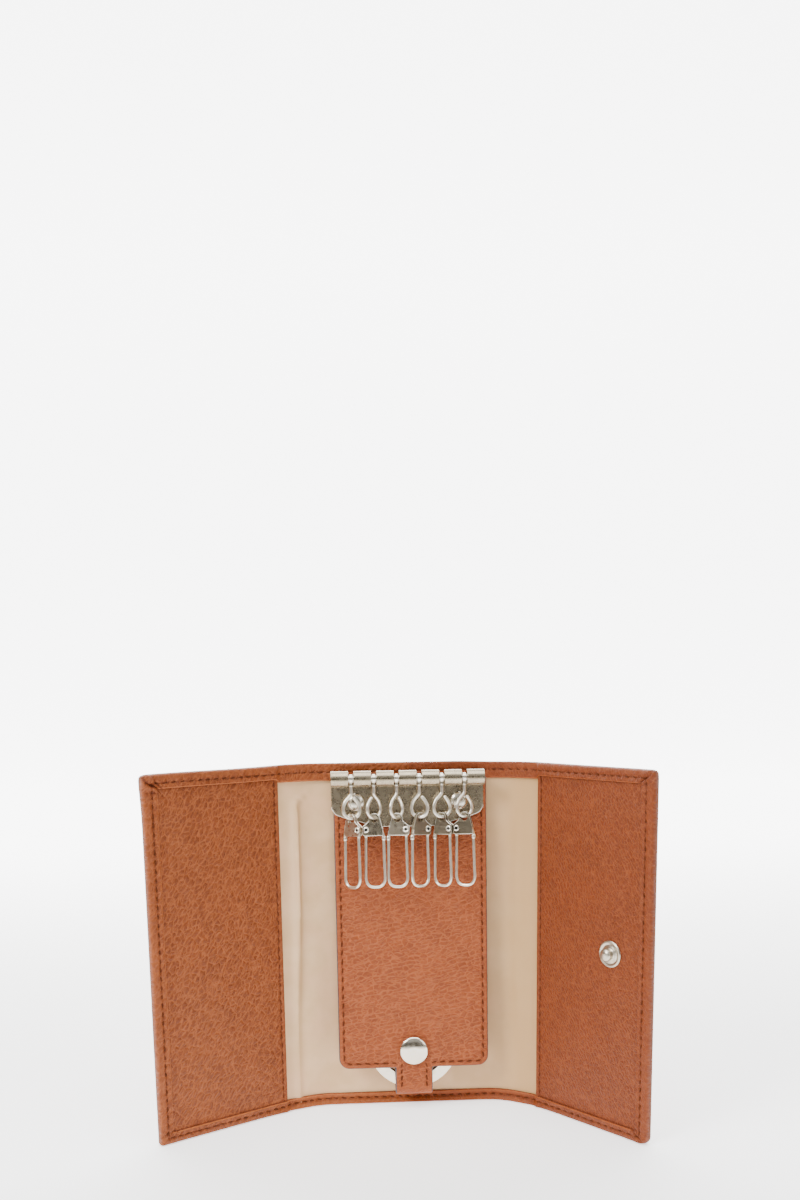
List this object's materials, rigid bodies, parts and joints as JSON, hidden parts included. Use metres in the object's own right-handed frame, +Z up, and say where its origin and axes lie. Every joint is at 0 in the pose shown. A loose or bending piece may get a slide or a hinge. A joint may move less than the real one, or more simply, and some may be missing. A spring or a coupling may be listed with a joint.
{
  "type": "key case",
  "caption": "Folding leather key case, standing open, with side pockets, a hanging pad with a plate of swivel key hooks, and a split ring on a snap strap.",
  "frame": {"origin": "on the surface the case stands on, under the middle of its box", "axes": "+Z up, +X to the right along the open case as seen from its inner side, -Y towards the open inner side"},
  "size_m": [0.1292, 0.0396, 0.098],
  "materials": {
    "case_leather": "pebbled, semi-matt",
    "pad_leather": "pebbled, semi-matt, dark painted edges",
    "satin_lining": "satin",
    "brushed_nickel": "satin nickel plate",
    "bright_nickel": "bright nickel plate"
  },
  "bodies": {
    "centre": {"shell_centre": "case_leather", "lining_centre": "satin_lining", "fold_left": "case_leather", "fold_right": "case_leather", "pad_anchor": "pad_leather"},
    "left_spine": {"shell_left_spine": "case_leather", "lining_left_spine": "satin_lining", "crease_left": "case_leather"},
    "left_wing": {"shell_left_wing": "case_leather", "lining_left_wing": "satin_lining", "pocket_left": "case_leather", "wing_socket": "bright_nickel"},
    "right_spine": {"shell_right_spine": "case_leather", "lining_right_spine": "satin_lining", "crease_right": "case_leather"},
    "right_wing": {"shell_right_wing": "case_leather", "lining_right_wing": "satin_lining", "pocket_right": "case_leather", "wing_stud": "bright_nickel"},
    "pad": {"pad_front": "pad_leather", "pad_back": "pad_leather", "strap_fold": "pad_leather", "key_plate": "brushed_nickel", "rod": "bright_nickel", "plate_rivets": "bright_nickel", "strap_cap": "bright_nickel", "strap_socket": "bright_nickel"},
    "strap": {"strap_end": "pad_leather", "strap_stud": "bright_nickel"},
    "ring": {"split_ring": "bright_nickel"},
    "clip_1": {"clip_1": "bright_nickel"},
    "loop_1": {"loop_1": "bright_nickel"},
    "hook_1": {"hook_1": "bright_nickel"},
    "bail_1": {"bail_1": "bright_nickel"},
    "clip_2": {"clip_2": "bright_nickel"},
    "loop_2": {"loop_2": "bright_nickel"},
    "hook_2": {"hook_2": "bright_nickel"},
    "bail_2": {"bail_2": "bright_nickel"},
    "clip_3": {"clip_3": "bright_nickel"},
    "loop_3": {"loop_3": "bright_nickel"},
    "hook_3": {"hook_3": "bright_nickel"},
    "bail_3": {"bail_3": "bright_nickel"},
    "clip_4": {"clip_4": "bright_nickel"},
    "loop_4": {"loop_4": "bright_nickel"},
    "hook_4": {"hook_4": "bright_nickel"},
    "bail_4": {"bail_4": "bright_nickel"},
    "clip_5": {"clip_5": "bright_nickel"},
    "loop_5": {"loop_5": "bright_nickel"},
    "hook_5": {"hook_5": "bright_nickel"},
    "bail_5": {"bail_5": "bright_nickel"},
    "clip_6": {"clip_6": "bright_nickel"},
    "loop_6": {"loop_6": "bright_nickel"},
    "hook_6": {"hook_6": "bright_nickel"},
    "bail_6": {"bail_6": "bright_nickel"}
  },
  "joints": [
    {"name": "left_inner_fold", "type": "hinge", "parent": "centre", "child": "left_spine", "pos_m": [-0.02215, 0.01821, 0.049], "axis": [0, 0, 1], "range_deg": [-25, 65], "deforming": ["fold_left"]},
    {"name": "left_outer_fold", "type": "hinge", "parent": "left_spine", "child": "left_wing", "pos_m": [-0.03176, 0.01373, 0.049], "axis": [0, 0, 1], "range_deg": [-10, 80], "deforming": ["crease_left"]},
    {"name": "right_inner_fold", "type": "hinge", "parent": "centre", "child": "right_spine", "pos_m": [0.03057, 0.01821, 0.049], "axis": [0, 0, -1], "range_deg": [-35, 55], "deforming": ["fold_right"]},
    {"name": "right_outer_fold", "type": "hinge", "parent": "right_spine", "child": "right_wing", "pos_m": [0.0404, 0.01132, 0.049], "axis": [0, 0, -1], "range_deg": [-18, 65.5], "deforming": ["crease_right"]},
    {"name": "pad_lift", "type": "hinge", "parent": "centre", "child": "pad", "pos_m": [0.00493, 0.01771, 0.0942], "axis": [1, 0, 0], "range_deg": [-50, 0]},
    {"name": "strap_open", "type": "hinge", "parent": "pad", "child": "strap", "pos_m": [0.00493, 0.01418, 0.00667], "axis": [1, 0, 0], "range_deg": [-3, 0]},
    {"name": "ring_turn", "type": "hinge", "parent": "pad", "child": "ring", "pos_m": [0.00493, 0.01492, 0.01891], "axis": [0, 0.9988, -0.0488], "continuous": true},
    {"name": "clip_swing_1", "type": "hinge", "parent": "pad", "child": "clip_1", "pos_m": [-0.01132, 0.01282, 0.09459], "axis": [1, 0, 0], "range_deg": [-70, 0]},
    {"name": "loop_swivel_1", "type": "hinge", "parent": "clip_1", "child": "loop_1", "pos_m": [-0.01132, 0.01252, 0.0916], "axis": [0, 0.1011, 0.9949], "range_deg": [-8, 14]},
    {"name": "hook_swing_1", "type": "hinge", "parent": "loop_1", "child": "hook_1", "pos_m": [-0.01132, 0.01174, 0.08394], "axis": [1, 0, 0], "range_deg": [-20, 0]},
    {"name": "bail_gate_1", "type": "hinge", "parent": "hook_1", "child": "bail_1", "pos_m": [-0.0095, 0.00963, 0.07943], "axis": [0, -0.1011, -0.9949], "range_deg": [-40, 0]},
    {"name": "clip_swing_2", "type": "hinge", "parent": "pad", "child": "clip_2", "pos_m": [-0.00512, 0.01282, 0.09459], "axis": [1, 0, 0], "range_deg": [-70, 0]},
    {"name": "loop_swivel_2", "type": "hinge", "parent": "clip_2", "child": "loop_2", "pos_m": [-0.00512, 0.01252, 0.0916], "axis": [0, 0.1011, 0.9949], "range_deg": [-25, 18]},
    {"name": "hook_swing_2", "type": "hinge", "parent": "loop_2", "child": "hook_2", "pos_m": [-0.00512, 0.01174, 0.08394], "axis": [1, 0, 0], "range_deg": [-20, 0]},
    {"name": "bail_gate_2", "type": "hinge", "parent": "hook_2", "child": "bail_2", "pos_m": [-0.00755, 0.0116, 0.07923], "axis": [0, 0.1011, 0.9949], "range_deg": [-40, 0]},
    {"name": "clip_swing_3", "type": "hinge", "parent": "pad", "child": "clip_3", "pos_m": [0.00108, 0.01282, 0.09459], "axis": [1, 0, 0], "range_deg": [-70, 0]},
    {"name": "loop_swivel_3", "type": "hinge", "parent": "clip_3", "child": "loop_3", "pos_m": [0.00108, 0.01252, 0.0916], "axis": [0, 0.1011, 0.9949], "range_deg": [-32, 12]},
    {"name": "hook_swing_3", "type": "hinge", "parent": "loop_3", "child": "hook_3", "pos_m": [0.00108, 0.01174, 0.08394], "axis": [1, 0, 0], "range_deg": [-20, 0]},
    {"name": "bail_gate_3", "type": "hinge", "parent": "hook_3", "child": "bail_3", "pos_m": [0.00352, 0.01109, 0.07929], "axis": [0, -0.1011, -0.9949], "range_deg": [-40, 0]},
    {"name": "clip_swing_4", "type": "hinge", "parent": "pad", "child": "clip_4", "pos_m": [0.00728, 0.01282, 0.09459], "axis": [1, 0, 0], "range_deg": [-70, 0]},
    {"name": "loop_swivel_4", "type": "hinge", "parent": "clip_4", "child": "loop_4", "pos_m": [0.00728, 0.01252, 0.0916], "axis": [0, -0.1011, -0.9949], "range_deg": [-10, 16]},
    {"name": "hook_swing_4", "type": "hinge", "parent": "loop_4", "child": "hook_4", "pos_m": [0.00728, 0.01174, 0.08394], "axis": [1, 0, 0], "range_deg": [-20, 0]},
    {"name": "bail_gate_4", "type": "hinge", "parent": "hook_4", "child": "bail_4", "pos_m": [0.00944, 0.01241, 0.07915], "axis": [0, -0.1011, -0.9949], "range_deg": [-40, 0]},
    {"name": "clip_swing_5", "type": "hinge", "parent": "pad", "child": "clip_5", "pos_m": [0.01348, 0.01282, 0.09459], "axis": [1, 0, 0], "range_deg": [-70, 0]},
    {"name": "loop_swivel_5", "type": "hinge", "parent": "clip_5", "child": "loop_5", "pos_m": [0.01348, 0.01252, 0.0916], "axis": [0, 0.1011, 0.9949], "range_deg": [-4, 28]},
    {"name": "hook_swing_5", "type": "hinge", "parent": "loop_5", "child": "hook_5", "pos_m": [0.01348, 0.01174, 0.08394], "axis": [1, 0, 0], "range_deg": [-20, 0]},
    {"name": "bail_gate_5", "type": "hinge", "parent": "hook_5", "child": "bail_5", "pos_m": [0.01541, 0.00976, 0.07942], "axis": [0, -0.1011, -0.9949], "range_deg": [-40, 0]},
    {"name": "clip_swing_6", "type": "hinge", "parent": "pad", "child": "clip_6", "pos_m": [0.01968, 0.01282, 0.09459], "axis": [1, 0, 0], "range_deg": [-70, 0]},
    {"name": "loop_swivel_6", "type": "hinge", "parent": "clip_6", "child": "loop_6", "pos_m": [0.01968, 0.01252, 0.0916], "axis": [0, 0.1011, 0.9949], "range_deg": [-14, 18]},
    {"name": "hook_swing_6", "type": "hinge", "parent": "loop_6", "child": "hook_6", "pos_m": [0.01968, 0.01174, 0.08394], "axis": [1, 0, 0], "range_deg": [-20, 0]},
    {"name": "bail_gate_6", "type": "hinge", "parent": "hook_6", "child": "bail_6", "pos_m": [0.01744, 0.01225, 0.07917], "axis": [0, 0.1011, 0.9949], "range_deg": [-40, 0]}
  ]
}
